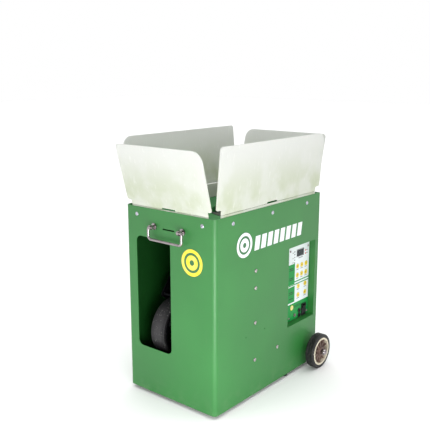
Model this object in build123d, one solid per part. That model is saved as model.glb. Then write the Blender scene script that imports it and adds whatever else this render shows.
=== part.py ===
"""Portable tennis ball machine: folded steel case, folding hopper flaps, carousel feeder and a
two-wheel throwing head on a yaw turntable. Millimetres, +Z up, front face towards -Y,
control panel on the +X side, origin on the ground under the middle of the case."""
from build123d import *

import os
from math import atan2, cos, degrees, radians, sin, sqrt

# ---- driving dimensions -------------------------------------------------------------------
CASE_W, CASE_D, CASE_H = 300, 465, 500
CASE_Z = 10                        # underside of the case above the ground
SHEET = 1.5                        # steel sheet thickness
BEND_R = 11                        # outside radius of the folded vertical corners
RIM_Z = CASE_Z + CASE_H
HALF_W, HALF_D = CASE_W / 2, CASE_D / 2
IN_X, IN_Y = HALF_W - SHEET, HALF_D - SHEET          # inner faces of the walls
GAP = 0.1                          # assembly gap between fixed sheet parts

OUTLET_X, OUTLET_W = -54.25, 118.5                   # ball outlet in the front wall
OUTLET_Z0, OUTLET_Z1, OUTLET_R = 134, 434, 15
SLOT_W, SLOT_H, SLOT_Z = 40, 3.6, 463
WINDOW_Y0, WINDOW_Y1 = 82, 217                       # control recess in the right wall
WINDOW_Z0, WINDOW_Z1 = 149, 376
WINDOW_R = 2.5
RECESS = 18                                          # depth of the control plate's face

FLAP_T, FLAP_H, FLAP_NOTCH = 3, 163, 13
FRONT_FLAP_HALF, FRONT_TONGUE_HALF, FRONT_LEAN = 140, 127, 15
SIDE_FLAP_HALF, SIDE_TONGUE_HALF, SIDE_LEAN = 227, 208, 5
FLAP_SMALL_R, FLAP_LARGE_R, SHOULDER_R = 9, 27, 5
FOLD_Z_FRONT, FOLD_STEP = RIM_Z + 3.5, 3.5           # fold heights: front and rear, right, left
STRIP_DROP = 31                                      # hinge strip below the rim
ARCH_W, ARCH_H = 46, 4                               # relief slot in the middle of each fold

RIVET_Z = 490
FRONT_RIVETS_X = (-110, 110)
SIDE_RIVETS_Y = (-165, 0, 165)
RIVET_R, RIVET_HEAD_R, RIVET_HEAD_H = 2.5, 5.2, 2.2
BOLT_R, BOLT_HEAD_R, BOLT_HEAD_H = 3, 5.6, 3
SIDE_BOLTS = ((-70, 350), (-70, 304), (-70, 210), (-70, 107), (33, 109))
PILOT_HOLES, PILOT_R = ((-27, 181), (-109, 181)), 1.6    # small unused holes in the right wall

POST_X, POST_Z, BAIL_OUT = 48, 466, 14               # lifting handle on the front wall
POST_STUD_R, POST_STEM_R, EYE_R, EYE_HALF = 3, 4.2, 6.6, 3
BAIL_R, BAIL_HALF, BAIL_DROP = 3.4, 56, 31
EYE_BEND, GRIP_BEND = 4, 9                           # bends beside the eyes, and at the grip's ends

ROAD_R, ROAD_W, ROAD_RIM_R = 50, 25, 40              # road wheels
ROAD_Y, ROAD_X_OUT, AXLE_R = 201, 192, 6
BUSH_R, BUSH_FLANGE_R = 9, 13
FOOT_R = 9
RAIL_DEPTH = 14                                      # angle rail behind the right wall

TRAY_TOP_Z, TRAY_FLOOR_Z, WELL_Z = 478, 458, 432     # hopper tray levels
TRAY_T, TRAY_HALF_X, TRAY_HALF_Y, TRAY_EDGE = 2, 146, 229, 2
WELL_Y, WELL_R, FLOOR_HALF = 106, 116, 120
ROTOR_R, POCKET_PITCH_R, POCKET_R, POCKETS = 113, 75, 37, 5
HEAD_X = -56                                         # centre plane of the throwing head
DROP_Y = WELL_Y + sqrt(POCKET_PITCH_R ** 2 - HEAD_X ** 2)
TUBE_R, TUBE_T, TUBE_Z = 36, 2, 280
RAMP_REAR_Y, RAMP_FRONT_Y = 196, 4
RAMP_LINE = ((156, 250), (-40, 213))                 # ball centre line down the chute, (y, z)

THROW_R, THROW_W, TREAD = 80, 46, 8                  # throwing wheels
PIVOT_Y, PIVOT_Z, NIP = -77, 253, 105                # pitch axis and half the wheel spacing
PITCH = 38                                           # launch angle at rest
PLATE_IN, PLATE_T = 37, 3                            # inner half-gap and thickness of head plates
SHAFT_R = 4
RUN = 0.05                                           # radial running clearance

GEAR_MODULE_YAW, GEAR_MODULE_PITCH = 2, 1.5
GEAR_TEETH, PINION_TEETH = 72, 12
GEAR_BACK_OFF = 0.35                                 # extra centre distance, so the teeth clear
YAW_CENTRES = GEAR_MODULE_YAW * (GEAR_TEETH + PINION_TEETH) / 2 + GEAR_BACK_OFF
PITCH_CENTRES = GEAR_MODULE_PITCH * (GEAR_TEETH + PINION_TEETH) / 2 + GEAR_BACK_OFF
SECTOR_W, SECTOR_HALF = 5, 25                        # toothed sector: width and half its angle
PITCH_RANGE = 23                                     # the head drops this far from rest
PINION_BORE_R = 2.5
TABLE_Z0, TABLE_Z1, SPIGOT_R = 52, 57, 8
ARM_FOOT_Y, ARM_T = 0, 4                             # yoke arms: middle at the turntable, thickness
ARM_X = PLATE_IN + PLATE_T + 8                       # their inner faces from the head's centre plane
ARM_HALF, TRUNNION_R = 16, 6
PITCH_DIR = atan2(PIVOT_Z - 100, ARM_FOOT_Y - PIVOT_Y)
SPACER_ALONG, SPACER_ACROSS, SPACER_R = 64, 43, 3.5

os.makedirs("parts", exist_ok=True)


# ---- helpers ------------------------------------------------------------------------------
def save(name, *solids):
    """Write one node: a single solid, or a group of separate solids."""
    shape = solids[0] if len(solids) == 1 else Compound(children=list(solids))
    export_step(shape, f"parts/{name}.step")


def block(x0, x1, y0, y1, z0, z1):
    """Box from its low and high corners."""
    centre = ((x0 + x1) / 2, (y0 + y1) / 2, (z0 + z1) / 2)
    return Pos(*centre) * Box(x1 - x0, y1 - y0, z1 - z0)


def rod_x(x0, x1, y, z, radius):
    """Round bar along X."""
    return Pos((x0 + x1) / 2, y, z) * Rot(0, 90, 0) * Cylinder(radius, abs(x1 - x0))


def rod_y(y0, y1, x, z, radius):
    """Round bar along Y."""
    return Pos(x, (y0 + y1) / 2, z) * Rot(90, 0, 0) * Cylinder(radius, abs(y1 - y0))


def rod_z(z0, z1, x, y, radius):
    """Round bar along Z."""
    return Pos(x, y, (z0 + z1) / 2) * Cylinder(radius, abs(z1 - z0))


def plate_x(points, x0, x1):
    """Flat plate from an outline of (y, z) points, between two X planes."""
    face = make_face(Polyline(*[(x0, y, z) for y, z in points], close=True))
    return extrude(face, amount=abs(x1 - x0), dir=(1, 0, 0))


def button_head(radius, height):
    """Domed fastener head on the XY plane, its dome towards +Z."""
    sphere_r = (radius ** 2 + height ** 2) / (2 * height)
    dome = Pos(0, 0, height - sphere_r) * Sphere(sphere_r)
    return dome & (Pos(0, 0, height / 2) * Cylinder(radius, height))


def hex_nut(radius, height, bore):
    """Hexagon nut on the XY plane, growing towards +Z."""
    return extrude(RegularPolygon(radius, 6) - Circle(bore), amount=height)


def gear(module, teeth, width, bore, half_sector=180, first_tooth=0):
    """Spur gear on the XY plane; teeth are tapered bars on a root disc."""
    pitch_r = module * teeth / 2
    root_r, tip_r = pitch_r - 1.2 * module, pitch_r + 0.85 * module
    root_half, tip_half = 0.82 * module, 0.34 * module
    blank = Circle(root_r)
    outline = ((root_r - module, -root_half), (root_r, -root_half), (tip_r, -tip_half),
               (tip_r, tip_half), (root_r, root_half), (root_r - module, root_half))
    tooth = make_face(Polyline(*outline, close=True))
    step = 360 / teeth
    angles = [first_tooth + step * k for k in range(teeth)]
    near = [a for a in angles if abs((a + 180) % 360 - 180) <= half_sector]
    for angle in near:
        blank += Rot(0, 0, angle) * tooth
    return extrude(blank - Circle(bore), amount=width)


def to_side(y, z, x=HALF_W):
    """Place a part made on the XY plane onto the right wall, its +Z facing outwards."""
    return Pos(x, y, z) * Rot(0, 90, 0)


def side_plane(x, y, z):
    """Frame with its X along the part's Y, its Y along the part's Z and its Z along the part's X."""
    return Plane(origin=(x, y, z), x_dir=(0, 1, 0), z_dir=(1, 0, 0))


def head_point(along, across):
    """(y, z) in the throwing head at rest: along the throw and along the wheel line."""
    a = radians(PITCH)
    return (PIVOT_Y - along * cos(a) + across * sin(a), PIVOT_Z + along * sin(a) + across * cos(a))


# ---- case ---------------------------------------------------------------------------------
def case_wrap():
    """Front and side walls folded from one sheet, with corner gussets welded in under the rim."""
    outer = Rectangle(CASE_W, CASE_D)
    front_corners = outer.vertices().group_by(Axis.Y)[0]
    outer = fillet(front_corners, BEND_R)
    inner = Pos(0, SHEET) * Rectangle(CASE_W - 2 * SHEET, CASE_D)
    inner = fillet(inner.vertices().group_by(Axis.Y)[0], BEND_R - SHEET)
    wall = Pos(0, 0, CASE_Z) * extrude(outer - inner, amount=CASE_H)

    outlet = Rot(90, 0, 0) * extrude(RectangleRounded(OUTLET_W, OUTLET_Z1 - OUTLET_Z0, OUTLET_R), 20, both=True)
    wall -= Pos(OUTLET_X, -HALF_D, (OUTLET_Z0 + OUTLET_Z1) / 2) * outlet
    slot = Rot(90, 0, 0) * extrude(RectangleRounded(SLOT_W, SLOT_H, SLOT_H / 2 - 0.1), 10, both=True)
    wall -= Pos(0, -HALF_D, SLOT_Z) * slot
    size_y, size_z = WINDOW_Y1 - WINDOW_Y0, WINDOW_Z1 - WINDOW_Z0
    window = Rot(0, 90, 0) * extrude(RectangleRounded(size_z, size_y, WINDOW_R), 10, both=True)
    wall -= Pos(HALF_W, (WINDOW_Y0 + WINDOW_Y1) / 2, (WINDOW_Z0 + WINDOW_Z1) / 2) * window

    for x in FRONT_RIVETS_X:
        wall -= rod_y(-HALF_D - 5, -IN_Y + 5, x, RIVET_Z, RIVET_R + RUN)
    for x in (-POST_X, POST_X):
        wall -= rod_y(-HALF_D - 5, -IN_Y + 5, x, POST_Z, POST_STUD_R + RUN)
    for y in SIDE_RIVETS_Y:
        wall -= rod_x(-HALF_W - 5, HALF_W + 5, y, RIVET_Z, RIVET_R + RUN)
    for y, z in SIDE_BOLTS:
        wall -= rod_x(IN_X - 5, HALF_W + 5, y, z, BOLT_R + RUN)
    for y, z in PILOT_HOLES:
        wall -= rod_x(IN_X - 5, HALF_W + 5, y, z, PILOT_R)
    wall -= rod_x(-HALF_W - 5, HALF_W + 5, ROAD_Y, ROAD_R, BUSH_R + RUN)

    leg, gusset_z, weld = 18, RIM_Z - 10, 0.2
    for sx in (-1, 1):
        for sy in (-1, 1):
            x = sx * (IN_X + weld)
            y = sy * (IN_Y - GAP if sy > 0 else IN_Y + weld)
            web = extrude(make_face(Polyline((x, y), (x - sx * leg, y), (x, y - sy * leg), close=True)), amount=SHEET)
            if sy < 0:
                web &= extrude(Rectangle(CASE_W, CASE_D) & outer, amount=SHEET)
            wall += Pos(0, 0, gusset_z) * web
    return wall


def rear_panel():
    """Flat rear wall between the side walls, with flanges folded forward along both sides."""
    flange, top_clear = 12, 15
    side = IN_X - GAP
    panel = block(-side, side, IN_Y, HALF_D, CASE_Z + SHEET + GAP, RIM_Z)
    for sx in (-1, 1):
        x0, x1 = sorted((sx * side, sx * (side - SHEET)))
        panel += block(x0, x1, HALF_D - flange, IN_Y, CASE_Z + 20, RIM_Z - top_clear)
    for x in FRONT_RIVETS_X:
        panel -= rod_y(IN_Y - 5, HALF_D + 5, x, RIVET_Z, RIVET_R + RUN)
    return panel - rod_x(-IN_X - 5, IN_X + 5, ROAD_Y, ROAD_R, BUSH_FLANGE_R + 2)


def base_plate():
    """Floor pan with upturned edges that the walls are riveted to."""
    lip = 14
    x, y = IN_X - GAP, IN_Y - GAP
    corner = BEND_R - SHEET
    sheet = Rectangle(2 * x, 2 * y)
    sheet = fillet(sheet.vertices().group_by(Axis.Y)[0], corner)
    hollow = Rectangle(2 * (x - SHEET), 2 * (y - SHEET))
    hollow = fillet(hollow.vertices().group_by(Axis.Y)[0], corner - SHEET)
    pan = extrude(sheet, amount=SHEET) + extrude(sheet - hollow, amount=lip)
    return Pos(0, 0, CASE_Z) * pan


def rubber_feet():
    """Four moulded feet, set in from the front corners and ahead of the road wheels."""
    feet = []
    for x, y in ((-105, -190), (105, -190), (-138, 91), (138, 91)):
        foot = Cone(FOOT_R - 1.5, FOOT_R, CASE_Z)
        feet.append(Pos(x, y, CASE_Z / 2) * foot)
    return feet


def rim_rivets():
    """Domed rivets that clamp the hinge strips inside the rim."""
    rivets = []
    inside = SHEET + FLAP_T
    tail_r, tail_h = 4.5, 1.2
    shank = Pos(0, 0, -inside / 2) * Cylinder(RIVET_R, inside)
    tail = Pos(0, 0, -inside - tail_h / 2) * Cylinder(tail_r, tail_h)
    rivet = button_head(RIVET_HEAD_R, RIVET_HEAD_H) + shank + tail
    for x in FRONT_RIVETS_X:
        rivets.append(Pos(x, -HALF_D, RIVET_Z) * Rot(90, 0, 0) * rivet)
        rivets.append(Pos(x, HALF_D, RIVET_Z) * Rot(-90, 0, 0) * rivet)
    for y in SIDE_RIVETS_Y:
        rivets.append(Pos(HALF_W, y, RIVET_Z) * Rot(0, 90, 0) * rivet)
        rivets.append(Pos(-HALF_W, y, RIVET_Z) * Rot(0, -90, 0) * rivet)
    return rivets


def side_rail():
    """Angle rails bolted inside the right wall: one upright and one short foot rail."""
    half, top, bottom = 9, 366, 92
    y0 = SIDE_BOLTS[0][0]
    inner = IN_X - RAIL_DEPTH
    rail = block(IN_X - SHEET, IN_X - GAP, y0 - half, y0 + half, bottom, top)
    rail += block(inner, IN_X - GAP, y0 + half - SHEET, y0 + half, bottom, top)
    foot_end = SIDE_BOLTS[-1][0] + 14
    rail += block(IN_X - SHEET, IN_X - GAP, y0 - half, foot_end, bottom, bottom + 28)
    rail += block(inner, IN_X - GAP, y0 - half, foot_end, bottom, bottom + SHEET)
    for y, z in SIDE_BOLTS:
        rail -= rod_x(IN_X - 5, HALF_W, y, z, BOLT_R + RUN)
    return rail


def side_bolts():
    """Button-head bolts through the right wall and the rail, each with its nut."""
    grip = 2 * SHEET
    bolt = button_head(BOLT_HEAD_R, BOLT_HEAD_H) + Pos(0, 0, -grip) * Cylinder(BOLT_R, 2 * grip)
    bolt -= Pos(0, 0, BOLT_HEAD_H) * extrude(RegularPolygon(2, 6), amount=-1.6)
    bolt += Pos(0, 0, -grip - 3) * hex_nut(5, 3, BOLT_R - 0.3)
    return [to_side(y, z) * bolt for y, z in SIDE_BOLTS]


# ---- hopper flaps and their hinge strips ----------------------------------------------------
def flap_blank(half, tongue_half):
    """Flap outline in the XY plane: X along the fold, Y up the flap from the fold axis."""
    lower = ((-tongue_half, 0), (-tongue_half, FLAP_NOTCH), (-half, FLAP_NOTCH), (-half, FLAP_H),
             (half, FLAP_H), (half, FLAP_NOTCH), (tongue_half, FLAP_NOTCH), (tongue_half, 0))
    face = make_face(Polyline(*lower, close=True))
    corners = face.vertices()
    face = fillet([v for v in corners if v.Y > FLAP_H - 1 and v.X < 0], FLAP_SMALL_R)
    face = fillet([v for v in face.vertices() if v.Y > FLAP_H - 1 and v.X > half - 1], FLAP_LARGE_R)
    shoulders = [v for v in face.vertices() if abs(v.Y - FLAP_NOTCH) < 0.1 and abs(v.X) > half - 1]
    return fillet(shoulders, SHOULDER_R)


def flap(half, tongue_half):
    """Plastic flap with a full-round bead along the fold and a relief slot in its middle."""
    body = Pos(0, 0, -FLAP_T / 2) * extrude(flap_blank(half, tongue_half), amount=FLAP_T)
    body += rod_x(-tongue_half, tongue_half, 0, 0, FLAP_T / 2)
    slot_y = ARCH_H - FLAP_T / 2
    slot = Pos(0, slot_y / 2 - FLAP_T) * Rectangle(ARCH_W, slot_y + 2 * FLAP_T)
    slot = fillet(slot.vertices().group_by(Axis.Y)[-1], 2)
    return body - extrude(slot, FLAP_T, both=True)


def hinge_strip(tongue_half, fold_z, rivets):
    """Riveted strip below one fold, in the same frame as flap(): Y is up, Z faces outwards."""
    top = -FLAP_T / 2 - 0.1
    bottom = RIM_Z - STRIP_DROP - fold_z
    strip = block(-tongue_half, tongue_half, bottom, top, -FLAP_T / 2, FLAP_T / 2)
    for x in rivets:
        strip -= rod_z(-FLAP_T, FLAP_T, x, RIVET_Z - fold_z, RIVET_R + RUN)
    return strip


def wall_frames():
    """For each wall: its frame at the fold axis (X along the fold, Y up, Z outwards)."""
    axis_in = FLAP_T / 2
    return {
        "front": Pos(0, -IN_Y + axis_in, FOLD_Z_FRONT) * Rot(90, 0, 0),
        "rear": Pos(0, IN_Y - axis_in, FOLD_Z_FRONT) * Rot(0, 0, 180) * Rot(90, 0, 0),
        "right": Pos(IN_X - axis_in, 0, FOLD_Z_FRONT + FOLD_STEP) * Rot(0, 0, 90) * Rot(90, 0, 0),
        "left": Pos(-IN_X + axis_in, 0, FOLD_Z_FRONT + 2 * FOLD_STEP) * Rot(0, 0, -90) * Rot(90, 0, 0),
    }


# ---- lifting handle -------------------------------------------------------------------------
def handle_posts():
    """Two studs through the front wall, each with a collar, an eye for the bail and a nut inside."""
    posts = []
    eye_y = -HALF_D - BAIL_OUT
    collar_r, collar_t, stud_end = 8.5, 3, 9
    for x in (-POST_X, POST_X):
        post = rod_y(-HALF_D - collar_t, -HALF_D, x, POST_Z, collar_r)
        post += rod_y(eye_y, -HALF_D, x, POST_Z, POST_STEM_R)
        post += rod_x(x - EYE_HALF, x + EYE_HALF, eye_y, POST_Z, EYE_R)
        post += rod_y(-HALF_D - 1, -IN_Y + stud_end, x, POST_Z, POST_STUD_R)
        post += Pos(x, -IN_Y, POST_Z) * Rot(-90, 0, 0) * hex_nut(5.5, 4, POST_STUD_R - 0.3)
        posts.append(post - rod_x(x - 10, x + 10, eye_y, POST_Z, BAIL_R + RUN))
    return posts


def bail_handle():
    """Bent round bar: two ends through the eyes, two legs and the grip bar."""
    y = -HALF_D - BAIL_OUT
    end = POST_X - EYE_HALF - 4
    low = POST_Z - BAIL_DROP
    down = low + GRIP_BEND
    inner = BAIL_HALF - GRIP_BEND
    left = FilletPolyline((-end, y, POST_Z), (-BAIL_HALF, y, POST_Z), (-BAIL_HALF, y, down), radius=EYE_BEND)
    right = FilletPolyline((BAIL_HALF, y, down), (BAIL_HALF, y, POST_Z), (end, y, POST_Z), radius=EYE_BEND)
    shift = GRIP_BEND * (1 - sqrt(0.5))
    left_bend = ThreePointArc((-BAIL_HALF, y, down), (-BAIL_HALF + shift, y, low + shift), (-inner, y, low))
    right_bend = ThreePointArc((inner, y, low), (BAIL_HALF - shift, y, low + shift), (BAIL_HALF, y, down))
    path = left + left_bend + Line((-inner, y, low), (inner, y, low)) + right_bend + right
    ends = Plane(origin=(-end, y, POST_Z), z_dir=(-1, 0, 0))
    return sweep(ends * Circle(BAIL_R), path=path)


# ---- control panel --------------------------------------------------------------------------
PANEL_X1 = HALF_W - RECESS         # outer face of the control plate
PANEL_T = 2
PANEL_X0 = PANEL_X1 - PANEL_T
PANEL_Y0, PANEL_Y1 = 109, 214
PANEL_Z0, PANEL_Z1 = 152, 370
PANEL_SCREWS = ((116, 357), (207, 357), (116, 160), (209, 160))
KEY_R, KEY_PROUD, KEY_DOME, KEY_COLLAR = 6.5, 1.3, 0.7, 1
KEYS = ((154, 307), (176, 307), (198, 307), (154, 281), (176, 281), (198, 281),
        (160, 247), (196, 247), (160, 221), (196, 221))
DISPLAY = (150, 183, 336, 354)     # low y, high y, low z, high z
LEDS, LED_R = ((194, 346), (194, 337)), 2
JACKS, JACK_R, JACK_COLLAR_R = ((168, 172), (168, 158)), 5, 6.4
SOCKET, SOCKET_R = (143, 164), 3
ROCKER_Y, ROCKER_Z, ROCKER_TILT = 190, 170, 10
ROCKER_HALF_Y, ROCKER_HALF_Z = 8.6, 14
BEZEL_HALF_Y, BEZEL_HALF_Z, BEZEL_PROUD, BEZEL_DEPTH = 11, 18, 2.5, 13
BODY_HALF_Y, BODY_HALF_Z = BEZEL_HALF_Y - 1.5, BEZEL_HALF_Z - 1.2
SCREW_R, SCREW_HEAD_R, SCREW_HEAD_H = 1.5, 3.4, 2
BOARD_X0, BOARD_T = 121, 1.6


def control_tray():
    """Pressed recess behind the right wall's window, with a window of its own for the keys."""
    floor_x0, floor_x1 = PANEL_X0 - SHEET, PANEL_X0
    flange, back = 9, IN_X - GAP
    y0, y1, z0, z1 = WINDOW_Y0 - GAP, WINDOW_Y1 + GAP, WINDOW_Z0 - GAP, WINDOW_Z1 + GAP
    rear_end = min(y1 + flange, HALF_D - 17)
    tray = block(floor_x0, back, y0 - SHEET, y1 + SHEET, z0 - SHEET, z1 + SHEET)
    tray += block(back - SHEET, back, y0 - flange, rear_end, z0 - flange, z1 + flange)
    tray -= block(floor_x1, back + 5, y0, y1, z0, z1)
    return tray - block(floor_x0 - 1, floor_x1 + 1, PANEL_Y0 + 14, PANEL_Y1 - 8, PANEL_Z0 + 0.5, PANEL_Z1 - 12)


def control_panel():
    """Printed face plate with holes for the keys, display, lamps, jacks and power switch."""
    plate = block(PANEL_X0, PANEL_X1, PANEL_Y0, PANEL_Y1, PANEL_Z0, PANEL_Z1)
    drill = PANEL_X0 - 1, PANEL_X1 + 1
    for y, z in KEYS:
        plate -= rod_x(*drill, y, z, KEY_R + 0.3)
    for y, z in LEDS:
        plate -= rod_x(*drill, y, z, LED_R + RUN)
    for y, z in JACKS:
        plate -= rod_x(*drill, y, z, JACK_R + RUN)
    plate -= rod_x(*drill, *SOCKET, SOCKET_R + RUN)
    for y, z in PANEL_SCREWS:
        plate -= rod_x(*drill, y, z, SCREW_R + RUN)
    y0, y1, z0, z1 = DISPLAY
    plate -= block(*drill, y0 + 1, y1 - 1, z0 + 1, z1 - 1)
    return plate - block(*drill, ROCKER_Y - BODY_HALF_Y, ROCKER_Y + BODY_HALF_Y,
                         ROCKER_Z - BODY_HALF_Z, ROCKER_Z + BODY_HALF_Z)


def panel_screws():
    """Pan-head screws at the plate's corners, with a cross recess."""
    recess, slot = 3.6, 0.9
    head = button_head(SCREW_HEAD_R, SCREW_HEAD_H)
    cross = Box(recess, slot, 2) + Box(slot, recess, 2)
    screw = head - Pos(0, 0, SCREW_HEAD_H - 0.1) * cross + Pos(0, 0, -1) * Cylinder(SCREW_R, 2)
    return [to_side(y, z, PANEL_X1) * screw for y, z in PANEL_SCREWS]


def display_window():
    """Smoked lens over the numeric display, with a raised edge."""
    y0, y1, z0, z1 = DISPLAY
    inset, wall, sunk = 1 + RUN, 1.5, 0.4
    lens = block(PANEL_X0 - 3, PANEL_X1, y0 + inset, y1 - inset, z0 + inset, z1 - inset)
    edge = block(PANEL_X1, PANEL_X1 + 1, y0, y1, z0, z1)
    return lens + (edge - block(PANEL_X1 + sunk, PANEL_X1 + 2, y0 + wall, y1 - wall, z0 + wall, z1 - wall))


def status_leds():
    """Two lamps with domed ends."""
    lamps = []
    for y, z in LEDS:
        lamp = rod_x(PANEL_X0 - 4, PANEL_X1, y, z, LED_R)
        lamps.append(lamp + Pos(PANEL_X1, y, z) * Sphere(LED_R))
    return lamps


def key_cap(y, z):
    """Round key with a retaining collar behind the plate."""
    shoulder = PANEL_X1 + KEY_PROUD - KEY_DOME
    crown = to_side(y, z, shoulder) * button_head(KEY_R, KEY_DOME)
    body = rod_x(PANEL_X0 - KEY_COLLAR - 0.2, shoulder, y, z, KEY_R)
    collar = rod_x(PANEL_X0 - KEY_COLLAR - 0.2, PANEL_X0 - 0.2, y, z, KEY_R + KEY_COLLAR)
    return body + collar + crown


def power_jacks():
    """Two round charging sockets with a collar, a bore and a centre pin."""
    jacks = []
    bore_r, pin_r, collar_t = 3.1, 0.9, 2.2
    for y, z in JACKS:
        body = rod_x(PANEL_X0 - 10, PANEL_X1, y, z, JACK_R)
        collar = rod_x(PANEL_X1, PANEL_X1 + collar_t, y, z, JACK_COLLAR_R)
        bore = rod_x(PANEL_X1 - 8, PANEL_X1 + 5, y, z, bore_r)
        pin = rod_x(PANEL_X1 - 9, PANEL_X1 - 0.5, y, z, pin_r)
        jacks.append(body + collar - bore + pin)
    return jacks


def sensor_socket():
    """Small threaded socket with its hexagon nut."""
    y, z = SOCKET
    proud, bore_r = 3.6, 1.4
    stub = rod_x(PANEL_X0 - 6, PANEL_X1 + proud, y, z, SOCKET_R)
    nut = to_side(y, z, PANEL_X1) * hex_nut(5, 2, SOCKET_R - 0.5)
    return stub + nut - rod_x(PANEL_X1 - 1, PANEL_X1 + 5, y, z, bore_r)


def rocker_bezel():
    """Frame of the power switch, with its body behind the plate."""
    y, z = ROCKER_Y, ROCKER_Z
    half_y, half_z = BODY_HALF_Y - RUN, BODY_HALF_Z - RUN
    room_y, room_z, wall = ROCKER_HALF_Y + 0.3, ROCKER_HALF_Z + 1.8, 1.5
    face = block(PANEL_X1, PANEL_X1 + BEZEL_PROUD, y - BEZEL_HALF_Y, y + BEZEL_HALF_Y, z - BEZEL_HALF_Z, z + BEZEL_HALF_Z)
    body = block(PANEL_X1 - BEZEL_DEPTH, PANEL_X1, y - half_y, y + half_y, z - half_z, z + half_z)
    cavity = block(PANEL_X1 - BEZEL_DEPTH + wall, PANEL_X1 + 5, y - room_y, y + room_y, z - room_z, z + room_z)
    return face + body - cavity


def rocker_switch():
    """Rocker with a shallow V face, tipped to its off position."""
    deep, mid, tip, taper = -6, 2.2, 4.4, 4
    h = ROCKER_HALF_Z
    outline = [(deep, -h + taper), (tip, -h), (mid, 0), (tip, h), (deep, h - taper)]
    face = make_face(Polyline(*[(u, 0, v) for u, v in outline], close=True))
    rocker = extrude(face, amount=ROCKER_HALF_Y, both=True, dir=(0, 1, 0))
    return Pos(PANEL_X1 - 0.5, ROCKER_Y, ROCKER_Z) * Rot(0, ROCKER_TILT, 0) * rocker


def control_board():
    """Circuit board behind the plate with key switches, connectors and heat sink."""
    x1 = BOARD_X0 + BOARD_T
    board = block(BOARD_X0, x1, PANEL_Y0 + 16, PANEL_Y1 - 6, 196, PANEL_Z1 - 14)
    for y, z in KEYS:
        board += block(x1, x1 + 3.6, y - 3, y + 3, z - 3, z + 3)
    board += block(BOARD_X0 - 14, BOARD_X0, 140, 176, 300, 345)
    for k in range(4):
        board += block(BOARD_X0 - 10, BOARD_X0, 182 + 5 * k, 184 + 5 * k, 215, 270)
    board += block(BOARD_X0 - 12, BOARD_X0, 134, 172, 206, 222)
    return board


# ---- road wheels ----------------------------------------------------------------------------
def wheel_axle():
    """Steel axle across the case, with threaded ends for the cap nuts."""
    return rod_x(-ROAD_X_OUT - 7, ROAD_X_OUT + 7, ROAD_Y, ROAD_R, AXLE_R)


def axle_bushes():
    """Flanged plastic bushes that carry the axle in both side walls and space the wheels."""
    bushes = []
    inner_face = ROAD_X_OUT - ROAD_W - 1
    for sx in (-1, 1):
        bush = rod_x(sx * (IN_X - 6), sx * (inner_face - 0.3), ROAD_Y, ROAD_R, BUSH_R)
        bush += rod_x(sx * HALF_W, sx * (HALF_W + 4), ROAD_Y, ROAD_R, BUSH_FLANGE_R)
        bush += rod_x(sx * (IN_X - 4), sx * IN_X, ROAD_Y, ROAD_R, BUSH_FLANGE_R)
        bushes.append(bush - rod_x(sx * 100, sx * 200, ROAD_Y, ROAD_R, AXLE_R + RUN))
    return bushes


def cap_nuts():
    """Domed nuts that hold the road wheels on."""
    nuts = []
    for sx in (-1, 1):
        nut = hex_nut(9.5, 7, AXLE_R) + Pos(0, 0, 7) * (Sphere(8) & Pos(0, 0, 4) * Box(20, 20, 8))
        nuts.append(Pos(sx * (ROAD_X_OUT + 1.3), ROAD_Y, ROAD_R) * Rot(0, 90 * sx, 0) * nut)
    return nuts


def road_tyre(sx):
    """Solid rubber tyre with rounded shoulders and shallow tread grooves."""
    half, shoulder_r, groove_w, groove_depth = ROAD_W / 2, 4.5, 1.4, 1.2
    tyre = Cylinder(ROAD_R, ROAD_W) - Cylinder(ROAD_RIM_R, ROAD_W + 2)
    tyre = fillet(tyre.edges().filter_by(GeomType.CIRCLE).group_by(SortBy.RADIUS)[-1], shoulder_r)
    for z in (-5, 0, 5):
        tyre -= Pos(0, 0, z) * (Cylinder(ROAD_R + 2, groove_w) - Cylinder(ROAD_R - groove_depth, 3))
    return Pos(sx * (ROAD_X_OUT - half), ROAD_Y, ROAD_R) * Rot(0, 90 * sx, 0) * tyre


def road_hub(sx):
    """Moulded hub: rim ring, ten spokes, web and boss running on the axle."""
    half = ROAD_W / 2
    boss_r, ring_in, web_half, boss_w = 12, 35, 2, ROAD_W + 2
    spokes, spoke_t, spoke_w = 10, 3.2, ROAD_W - 8
    hub = Cylinder(ROAD_RIM_R, ROAD_W) - Cylinder(ring_in, ROAD_W + 2)
    hub += Cylinder(ring_in + 1, 2 * web_half)
    hub += Cylinder(boss_r, boss_w)
    for k in range(spokes):
        spoke = Pos((boss_r + ring_in) / 2, 0, 0) * Box(ring_in - boss_r + 2, spoke_t, spoke_w)
        hub += Rot(0, 0, 360 / spokes * k) * spoke
    hub -= Cylinder(AXLE_R + RUN, ROAD_W + 10)
    return Pos(sx * (ROAD_X_OUT - half), ROAD_Y, ROAD_R) * Rot(0, 90 * sx, 0) * hub


# ---- hopper tray and feeder -----------------------------------------------------------------
def funnel(wall):
    """Four-sided hollow between the tray's floor and its top edge, carried on past the edge.
    A wall thickness lowers it and moves its sides out, which gives the tray's underside."""
    past = 1.3
    rise = past * (TRAY_TOP_Z - TRAY_FLOOR_Z)
    half_x = FLOOR_HALF + past * (TRAY_HALF_X - TRAY_EDGE - FLOOR_HALF) + wall
    front = WELL_Y - FLOOR_HALF + past * (-TRAY_HALF_Y + TRAY_EDGE - WELL_Y + FLOOR_HALF) - wall
    rear = WELL_Y + FLOOR_HALF + past * (TRAY_HALF_Y - TRAY_EDGE - WELL_Y - FLOOR_HALF) + wall
    low = Pos(0, WELL_Y, TRAY_FLOOR_Z - wall) * Rectangle(2 * (FLOOR_HALF + wall), 2 * (FLOOR_HALF + wall))
    high = Pos(0, (front + rear) / 2, TRAY_FLOOR_Z + rise - wall) * Rectangle(2 * half_x, rear - front)
    return loft([low.face(), high.face()])


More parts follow.
